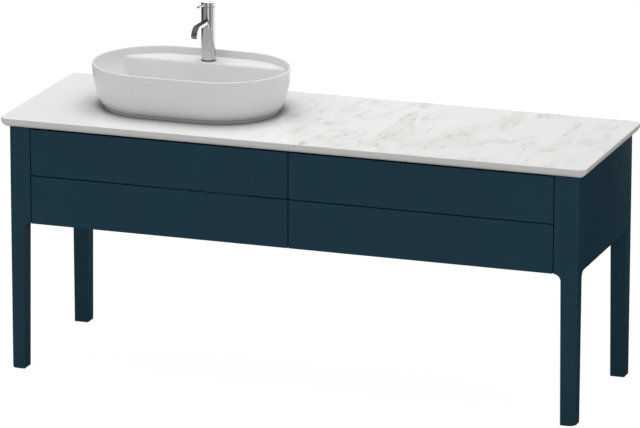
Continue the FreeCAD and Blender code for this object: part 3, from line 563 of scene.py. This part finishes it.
def on_oval(oval, facing):
    """The point of a four-arc oval whose edge faces a given direction."""
    length, width, radius = oval
    reach = length - radius
    long_radius = (reach ** 2 + width ** 2 - radius ** 2) / (2 * (width - radius))
    dip = long_radius - width
    east, north = math.cos(facing), math.sin(facing)
    if abs(math.atan2(abs(north), abs(east))) < math.atan2(dip, reach):
        return Vector((math.copysign(reach, east) + radius * east, radius * north))
    return Vector((long_radius * east, long_radius * north - math.copysign(dip, north)))


def bowl_rings():
    """Every ring from the drain's lower edge, out under the foot, up, over the rim and down inside."""
    base, floor, top = bowl_low.z, bowl_low.z + FLOOR_THICK, bowl_high.z
    foot = shrunk(drawn_in(rim_oval, 1), FOOT_INSET)
    wall_low = base + FOOT_HEIGHT
    half_rim = RIM_WIDTH / 2
    rings = [(foot, base, 1.0), (foot, base, 0.0), (foot, wall_low - MM, 0.0)]
    for step in range(OUTER_STEPS + 1):
        share = (step / OUTER_STEPS) ** FOOT_CROWDING
        inset_share = (1 - TUCK_SHARE) * (1 - share) ** BELLY_POWER + TUCK_SHARE * (1 - share) ** TUCK_POWER
        rings.append((drawn_in(rim_oval, inset_share), wall_low + (top - half_rim - wall_low) * share, 0.0))
    for step in range(1, RIM_STEPS):
        turn = math.pi * step / RIM_STEPS
        inset = half_rim * (1 - math.cos(turn))
        rings.append((shrunk(rim_oval, inset), top - half_rim + half_rim * math.sin(turn), 0.0))
    inside = shrunk(rim_oval, RIM_WIDTH)
    depth = top - half_rim - floor
    for step in range(INNER_STEPS + 1):
        turn = math.pi / 2 * step / INNER_STEPS
        height = floor + depth * (1 - math.sin(turn))
        rings.append((shrunk(inside, BASIN_INSET * (1 - math.cos(turn))), height, 0.0))
    bottom = shrunk(inside, BASIN_INSET)
    return rings + [(bottom, floor, step / FLOOR_STEPS) for step in range(1, FLOOR_STEPS + 1)]


rings = bowl_rings()
print(f"Rim {2 * rim_oval[0]:.3f} m by {2 * rim_oval[1]:.3f} m, in {len(rings)} rings")

# %% [markdown]
# ## Raising the tap shelf
# Inside the bowl, a point is lifted to the shelf's height wherever the shelf stands above it. The shelf
# is level at the back, rolls over in a round and drops as a steep face to the floor.

# %% Washbowl
SHELF_FRONT, SHELF_DROP, SHELF_ROUND, SHELF_SLOPE = 108 * MM, 22.5 * MM, 6 * MM, 10 * MM
SMOOTH_PASSES, SMOOTH_FACTOR = 4, 0.5
RECESS_HALF_WIDTH, RECESS_HALF_DEPTH, SHELF_THICK, TAP_BORE = 45 * MM, 25 * MM, 14 * MM, 17.5 * MM


def shelf_height(y):
    """Height of the tap shelf over the bowl's base at a distance behind its middle."""
    level = bowl_high.z - bowl_low.z - SHELF_DROP
    ahead = SHELF_FRONT + SHELF_ROUND - y
    if ahead <= 0:
        return level
    if ahead < SHELF_ROUND:
        return level - SHELF_ROUND + math.sqrt(SHELF_ROUND ** 2 - ahead ** 2)
    return level - SHELF_ROUND - (ahead - SHELF_ROUND) * (level - SHELF_ROUND) / SHELF_SLOPE


first_inside = FOOT_RINGS + OUTER_STEPS + RIM_STEPS + 1
bm = bmesh.new()
bmesh.ops.create_circle(bm, segments=BOWL_STEPS, radius=1.0)
loop = bm.edges[:]
for _ in rings[1:]:
    loop = carried(bm, loop, (0, 0, 1))
inside_points = []
for vertex in bm.verts:
    ring = round(vertex.co.z)
    oval, height, drained = rings[ring]
    facing = math.atan2(vertex.co.y, vertex.co.x)
    plan = on_oval(oval, facing) + bowl_middle.to_2d()
    drain = drain_middle.to_2d() + DRAIN_RADIUS * Vector((math.cos(facing), math.sin(facing)))
    plan = plan.lerp(drain, drained)
    if ring >= first_inside:
        height = max(height, bowl_low.z + shelf_height(plan.y - bowl_middle.y))
        if ring < len(rings) - 1:
            inside_points.append(vertex)
    vertex.co = (plan.x, plan.y, height)
ends = [e for e in bm.edges if e.is_boundary]
bmesh.ops.bridge_loops(bm, edges=ends)
for _ in range(SMOOTH_PASSES):
    bmesh.ops.smooth_vert(bm, verts=inside_points, factor=SMOOTH_FACTOR, use_axis_x=True, use_axis_y=True,
                          use_axis_z=True)
bmesh.ops.recalc_face_normals(bm, faces=bm.faces[:])

tap_axis = sum(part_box("tap_shank"), Vector()) / 2
shelf_top = bowl_high.z - SHELF_DROP
recess = solid_box((tap_axis.x - RECESS_HALF_WIDTH, tap_axis.y - RECESS_HALF_DEPTH, bowl_low.z - SHELF_THICK),
                   (tap_axis.x + RECESS_HALF_WIDTH, tap_axis.y + RECESS_HALF_DEPTH, shelf_top - SHELF_THICK))
tap_hole = cylinder(TAP_BORE, tap_axis.x, tap_axis.y, bowl_low.z, bowl_high.z)
make_piece("washbowl", combined("DIFFERENCE", bm, recess, tap_hole), "white_ceramic", "washbasin", sharp=50)

# %% [markdown]
# ## The waste and its plug
# The drain ends in a chromed flange on a threaded pipe, and over it sits a shallow domed plug that lifts
# a little to let the water go. Round parts are turned: half of the outline is drawn as a line of points,
# and the spin operator sweeps it once round the axis.

# %% Waste and plug
SPIN_WELD = 0.005 * MM


def turned(points, x, y, segments=96, closed=False):
    """Spin an outline of radius and height once round an upright axis."""
    bm = bmesh.new()
    chain = [bm.verts.new((x + radius, y, z)) for radius, z in points]
    following = chain[1:] + chain[:1] if closed else chain[1:]
    edges = [bm.edges.new(pair) for pair in zip(chain, following)]
    bmesh.ops.spin(bm, geom=chain + edges, cent=(x, y, 0), axis=(0, 0, 1), angle=2 * math.pi, steps=segments,
                   use_merge=True)
    bmesh.ops.remove_doubles(bm, verts=bm.verts[:], dist=SPIN_WELD)
    bmesh.ops.recalc_face_normals(bm, faces=bm.faces[:])
    return bm


def rounded_edge(radius, low, high, ease, steps=5):
    """The outline of a disc's edge, from its underside to its top, with both corners rounded."""
    corners = ((low + ease, -math.pi / 2), (high - ease, 0.0))
    return [(radius - ease + ease * math.cos(start + math.pi / 2 * step / steps),
             middle + ease * math.sin(start + math.pi / 2 * step / steps))
            for middle, start in corners for step in range(steps + 1)]


PIPE_RADIUS, PIPE_WALL, PIPE_LENGTH = 16 * MM, 3 * MM, 50 * MM
THREAD_RADIUS, THREAD_DEPTH, THREAD_PITCH = 20 * MM, 0.9 * MM, 2.3 * MM
FLANGE_THICK, FLANGE_EASE = 3 * MM, 1.2 * MM
x, y = drain_middle.x, drain_middle.y
bore, pipe_top, flange_low = PIPE_RADIUS - PIPE_WALL, drain_low.z + PIPE_LENGTH, drain_high.z - FLANGE_THICK
outline = [(bore, drain_low.z), (PIPE_RADIUS, drain_low.z), (PIPE_RADIUS, pipe_top)]
for turn in range(int((flange_low - pipe_top) / THREAD_PITCH)):
    root = pipe_top + turn * THREAD_PITCH
    outline += [(THREAD_RADIUS - THREAD_DEPTH, root), (THREAD_RADIUS, root + THREAD_PITCH / 2)]
outline += [(THREAD_RADIUS - THREAD_DEPTH, flange_low)]
outline += rounded_edge(drain_high.x - x, flange_low, drain_high.z, FLANGE_EASE) + [(bore, drain_high.z)]
make_piece("drain_flange_and_pipe", turned(outline, x, y, closed=True), "chrome", "waste_body")

PLUG_DOME, PLUG_EASE, DOME_STEPS, GUIDE_HALF = 1.6 * MM, 1.2 * MM, 8, 4 * MM
plug_low, plug_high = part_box("waste_plug")
plug_radius = plug_high.x - x
disc_low = drain_high.z
edge = rounded_edge(plug_radius, disc_low, plug_high.z - PLUG_DOME, PLUG_EASE)
dome = [((plug_radius - PLUG_EASE) * (1 - step / DOME_STEPS),
         plug_high.z - PLUG_DOME * (1 - step / DOME_STEPS) ** 2) for step in range(1, DOME_STEPS + 1)]
disc = turned([(0, disc_low), *edge, *dome], x, y)
guide = solid_box((x - GUIDE_HALF, y - GUIDE_HALF, plug_low.z),
                  (x + GUIDE_HALF, y + GUIDE_HALF, disc_low + MM))
make_piece("domed_plug", combined("UNION", disc, guide), "chrome", "waste_plug")

# %% [markdown]
# ## The tap
# A plain chromed column carries a flat spout that runs forward and bends down in one band, like a strip
# of metal folded over. The strip is drawn as a rounded rectangle, extruded forward, turned down by a
# quarter spin and extruded to its outlet.

# %% Tap column and spout
SPOUT_WIDTH, SPOUT_THICK, SPOUT_TOP = 18 * MM, 10.5 * MM, 122 * MM
SPOUT_BEND, SPOUT_DROP = 23.5 * MM, 31 * MM
SPOUT_EASE, TAP_EASE, BEND_STEPS = 1.2 * MM, 0.6 * MM, 16
CARTRIDGE_BORE, CARTRIDGE_DEPTH = 17 * MM, 36 * MM
tap_low, tap_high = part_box("tap_body")
tap_radius = tap_high.x - tap_axis.x
bore_floor = tap_high.z - CARTRIDGE_DEPTH
column = turned([(0, tap_low.z), *rounded_edge(tap_radius, tap_low.z, tap_high.z, TAP_EASE),
                 (CARTRIDGE_BORE, tap_high.z), (CARTRIDGE_BORE, bore_floor), (0, bore_floor)],
                tap_axis.x, tap_axis.y, segments=128)

strip_middle = shelf_top + SPOUT_TOP - SPOUT_THICK / 2
start_y = tap_axis.y - tap_radius / 2
bend_y = tap_low.y + SPOUT_THICK / 2 + SPOUT_BEND
outlet_z = shelf_top + SPOUT_TOP - SPOUT_DROP
spout = bmesh.new()
upright = Matrix.Rotation(math.pi / 2, 4, "X") @ Matrix.Diagonal((SPOUT_WIDTH, SPOUT_THICK, 1, 1))
bmesh.ops.create_grid(spout, x_segments=1, y_segments=1, size=0.5,
                      matrix=Matrix.Translation((tap_axis.x, start_y, strip_middle)) @ upright)
bmesh.ops.bevel(spout, geom=spout.verts[:], offset=SPOUT_EASE, offset_type="OFFSET", segments=4, profile=0.5,
                affect="VERTICES", material=-1)
loop = carried(spout, spout.edges[:], (0, bend_y - start_y, 0))
bend = bmesh.ops.spin(spout, geom=loop + list({v for e in loop for v in e.verts}), axis=(1, 0, 0),
                      cent=(0, bend_y, strip_middle - SPOUT_BEND), angle=math.pi / 2, steps=BEND_STEPS)
loop = carried(spout, edges_of(bend["geom_last"]), (0, 0, outlet_z - (strip_middle - SPOUT_BEND)))
bmesh.ops.edgeloop_fill(spout, edges=loop)
bmesh.ops.remove_doubles(spout, verts=spout.verts[:], dist=SPIN_WELD)
bmesh.ops.recalc_face_normals(spout, faces=spout.faces[:])
make_piece("tap_column_and_spout", combined("UNION", column, spout), "chrome", "tap_body", sharp=35)

# %% [markdown]
# ## The lever and the foot ring
# The cap on top of the column is the lever. Its top slopes up to the front, and a slim bar comes out of
# it and rises the same way. Cap and bar are joined, and a square socket below takes the stem. The ring
# under the column is drawn as a cone, so that it mirrors the dim part of the sky.

# %% Tap lever and base ring
LEVER_PLATE, LEVER_HALF_WIDTH, LEVER_CORNER, LEVER_BACK, LEVER_RISE = 4 * MM, 4 * MM, 2 * MM, 18 * MM, 6 * MM
LEVER_SINK, CAP_SLOPE = 3 * MM, 0.09
CAP_HEIGHT, SOCKET_HALF, SOCKET_DEPTH, BAR_STEPS = 11.5 * MM, 6 * MM, 4 * MM, 6
RING_BORE, RING_EDGE, RING_CONE = 14.3 * MM, 0.5 * MM, 1.9 * MM
x, y = tap_axis.x, tap_axis.y
lever_low, lever_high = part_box("tap_lever")
cap_top = lever_low.z + CAP_HEIGHT
cap = turned([(0, lever_low.z), *rounded_edge(tap_radius, lever_low.z, cap_top, TAP_EASE), (0, cap_top)],
             x, y, segments=128)
for vertex in cap.verts:
    if vertex.co.z > lever_low.z + CAP_HEIGHT / 2:
        vertex.co.z -= CAP_SLOPE * (vertex.co.y - y)
bar_top = lever_high.z - LEVER_SINK
bar = solid_box((x - LEVER_HALF_WIDTH, lever_low.y, bar_top - LEVER_PLATE),
                (x + LEVER_HALF_WIDTH, y + LEVER_BACK, bar_top))
for vertex in bar.verts:
    if vertex.co.y > y:
        vertex.co.z -= LEVER_RISE
front_corners = [e for e in bar.edges if all(abs(v.co.y - lever_low.y) < NEAR for v in e.verts)
                 and abs(e.verts[0].co.z - e.verts[1].co.z) > MM]
soften(bar, front_corners, LEVER_CORNER, BAR_STEPS)
soften(bar, [e for e in bar.edges if e.calc_face_angle() > EASE_ANGLE], TAP_EASE, EASE_STEPS)
socket = solid_box((x - SOCKET_HALF, y - SOCKET_HALF, lever_low.z - MM),
                   (x + SOCKET_HALF, y + SOCKET_HALF, lever_low.z + SOCKET_DEPTH))
lever = combined("DIFFERENCE", combined("UNION", cap, bar), socket)
make_piece("tap_lever_cap", lever, "chrome", "tap_lever", sharp=35)

ring_low, ring_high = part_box("tap_base_ring")
ring_radius = ring_high.x - x
ring = [(RING_BORE, ring_low.z), (ring_radius, ring_low.z), (ring_radius, ring_low.z + RING_EDGE),
        (ring_radius - RING_CONE, ring_high.z), (RING_BORE, ring_high.z)]
make_piece("tap_foot_ring", turned(ring, x, y, closed=True), "chrome", "tap_base_ring")

# %% [markdown]
# ## Camera
# The picture was taken from far away with a long lens, a little to the right and above, so upright lines
# stay almost parallel. The camera keeps that place. Depth of field is left off.

# %% Camera
CAMERA_PLACE = (4.9697, -14.2520, 4.6432)
AZIMUTH, ELEVATION, ROLL = math.radians(19.2228), math.radians(15.4694), math.radians(0.08)
LENS, SENSOR = 309.65, 36.0
camera_data = bpy.data.cameras.new("portrait")
camera_data.lens, camera_data.sensor_width = LENS, SENSOR
camera = bpy.data.objects.new("portrait", camera_data)
scene.collection.objects.link(camera)
camera.matrix_world = (Matrix.Translation(CAMERA_PLACE) @ Matrix.Rotation(AZIMUTH, 4, "Z")
                       @ Matrix.Rotation(math.pi / 2 - ELEVATION, 4, "X") @ Matrix.Rotation(ROLL, 4, "Z"))
scene.camera = camera
print(f"Lens {LENS:.0f} mm from {Vector(CAMERA_PLACE).length:.1f} m")

# %% [markdown]
# ## Studio floor and lamp
# The unit stands on a white sweep under one broad lamp, above and a little behind it. A floor lit like
# that would turn grey below the unit, so the camera sees it mixed with plain white, and mirrored rays see
# it dimmed: Light Path tells the shader which kind of ray is asking. A dark card stands beside the
# right-hand panel. Only mirrored rays meet it, and it keeps the satin lacquer deep where it is seen at a
# slant.

# %% Floor, card and lamp
FLOOR_RADIUS, FLOOR_WHITE_SHARE, FLOOR_IN_GLOSS = 2.9, 0.92, 0.06
WHITE_LEVEL = 1.05
CARD_GAP, CARD_MIDDLE, CARD_HALF, CARD_TOP, CARD_LEVEL = 0.03, 0.065, 0.315, 0.82, 0.006
LAMP_PLACE, LAMP_AIM, LAMP_WIDTH, LAMP_DEPTH, LAMP_POWER = (-0.3, 0.35, 3.4), (-0.1, 0, 0.74), 2.4, 1.6, 45


def stage_sheet(name, material, bm):
    """A flat piece of the studio, which is no part of the unit."""
    mesh = bpy.data.meshes.new(name)
    bm.to_mesh(mesh)
    bm.free()
    mesh.materials.append(material)
    sheet = bpy.data.objects.new(name, mesh)
    scene.collection.objects.link(sheet)
    return sheet


floor_finish = finish("studio floor", (0.93, 0.93, 0.93), 0.8, (3, 0.01), (8, 0.05), (200, 0.02))
tree = floor_finish.node_tree
path = shader_node(tree, "LightPath").outputs
dim = shader_node(tree, "BsdfDiffuse", {"Color": (FLOOR_IN_GLOSS,) * 3 + (1.0,)}).outputs[0]
white = shader_node(tree, "Emission", {"Strength": WHITE_LEVEL}).outputs[0]
lit = tree.nodes["Principled BSDF"].outputs[0]
mirrored = shader_node(tree, "MixShader", {0: path["Is Glossy Ray"], 1: lit, 2: dim}).outputs[0]
whitened = product(tree, path["Is Camera Ray"], FLOOR_WHITE_SHARE)
shown = shader_node(tree, "MixShader", {0: whitened, 1: mirrored, 2: white}).outputs[0]
tree.links.new(shown, tree.nodes["Material Output"].inputs["Surface"])
bm = bmesh.new()
bmesh.ops.create_circle(bm, cap_ends=True, segments=96, radius=FLOOR_RADIUS)
stage_sheet("studio_floor", floor_finish, bm)

panel_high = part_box("right_side_panel")[1]
upright = Matrix.Rotation(math.pi / 2, 4, "Y") @ Matrix.Diagonal((CARD_TOP / 2, CARD_HALF, 1, 1))
beside = Matrix.Translation((panel_high.x + CARD_GAP, CARD_MIDDLE, CARD_TOP / 2))
bm = bmesh.new()
bmesh.ops.create_grid(bm, x_segments=1, y_segments=1, size=1.0, matrix=beside @ upright)
card_finish = finish("black card", (CARD_LEVEL,) * 3, 0.9, (9, 0.1), (9, 0.02), (90, 0.1))
card = stage_sheet("dark_card", card_finish, bm)
card.visible_camera = card.visible_diffuse = card.visible_shadow = card.visible_transmission = False


def soft_lamp(name, place, aim, width, depth, power):
    """A rectangular lamp that points at a place."""
    lamp = bpy.data.lights.new(name, "AREA")
    lamp.shape, lamp.size, lamp.size_y, lamp.energy = "RECTANGLE", width, depth, power
    holder = bpy.data.objects.new(name, lamp)
    scene.collection.objects.link(holder)
    holder.location = place
    holder.rotation_euler = (Vector(aim) - Vector(place)).to_track_quat("-Z", "Y").to_euler()
    holder.visible_glossy = False


soft_lamp("broad lamp", LAMP_PLACE, LAMP_AIM, LAMP_WIDTH, LAMP_DEPTH, LAMP_POWER)
print(f"Floor {2 * FLOOR_RADIUS} m across")

# %% [markdown]
# ## What the shiny pieces see
# Chrome has no colour of its own: it shows the room. A plain white room would make the tap vanish, so
# photographers stand dark and light boards round such a piece. Here the sky plays their part. Rough
# surfaces get an even white sky, the camera sees white, and only mirrored rays see a ring of boards:
# grey in front, dark to the left, one slim bright strip, and a wide white board to the right. The sky
# above the boards is dim.

# %% Sky
SKY_LIGHT, BOARD_LIGHT, RING_START = 0.69, 1.5, math.radians(-70.8)
RING_SHARES = ((0.0, 1.0), (0.02, 1.0), (0.03, 0.11), (0.19, 0.03), (0.29, 0.2),
               (0.345, 0.33), (0.40, 0.18), (0.455, 0.19), (0.475, 0.8), (0.50, 0.8),
               (0.525, 0.33), (0.58, 0.16), (0.63, 0.33), (0.68, 0.93), (1.0, 1.0))
WHITE, CEILING_DIM, CEILING_BRIGHT = (1.0, 1.0, 1.0, 1.0), (0.08, 0.08, 0.08, 1.0), (0.14, 0.14, 0.14, 1.0)
BOARDS_END, CEILING_START = (0.06, 0.144), (0.5, 0.8)
world = bpy.data.worlds.new("studio sky")
world.use_nodes = True
scene.world = world
tree = world.node_tree
path = shader_node(tree, "LightPath").outputs
ray = shader_node(tree, "SeparateXYZ", {0: shader_node(tree, "TexCoord").outputs["Generated"]}).outputs
bearing = shader_node(tree, "Math", {0: ray["Y"], 1: ray["X"]}, operation="ARCTAN2").outputs[0]
from_camera = shader_node(tree, "Math", {0: bearing, 1: RING_START}, operation="SUBTRACT").outputs[0]
wrapped = shader_node(tree, "Math", {0: from_camera, 1: math.pi, 2: -math.pi}, operation="WRAP").outputs[0]
share = shader_node(tree, "MapRange", {"Value": wrapped, "From Min": -math.pi, "From Max": math.pi})
boards = shader_node(tree, "ValToRGB", {"Fac": share.outputs["Result"]})
stops = boards.color_ramp.elements
for place, _ in RING_SHARES[1:-1]:
    stops.new(place)
for stop, (place, level) in zip(stops, RING_SHARES):
    stop.position, stop.color = place, (level, level, level, 1.0)
low_sky = blended(tree, ramp(tree, ray["Z"], *BOARDS_END), boards.outputs["Color"], CEILING_DIM)
seen_in_gloss = blended(tree, ramp(tree, ray["Z"], *CEILING_START), low_sky, CEILING_BRIGHT)
skies = [shader_node(tree, "Background", {"Color": colour, "Strength": strength}).outputs[0]
         for colour, strength in ((WHITE, SKY_LIGHT), (seen_in_gloss, BOARD_LIGHT), (WHITE, WHITE_LEVEL))]
mirrored = shader_node(tree, "MixShader", {0: path["Is Glossy Ray"], 1: skies[0], 2: skies[1]}).outputs[0]
shown = shader_node(tree, "MixShader", {0: path["Is Camera Ray"], 1: mirrored, 2: skies[2]}).outputs[0]
tree.links.new(shown, tree.nodes["World Output"].inputs["Surface"])
scene.view_settings.view_transform = "Standard"
print(f"The ring of boards has {len(stops)} stops")
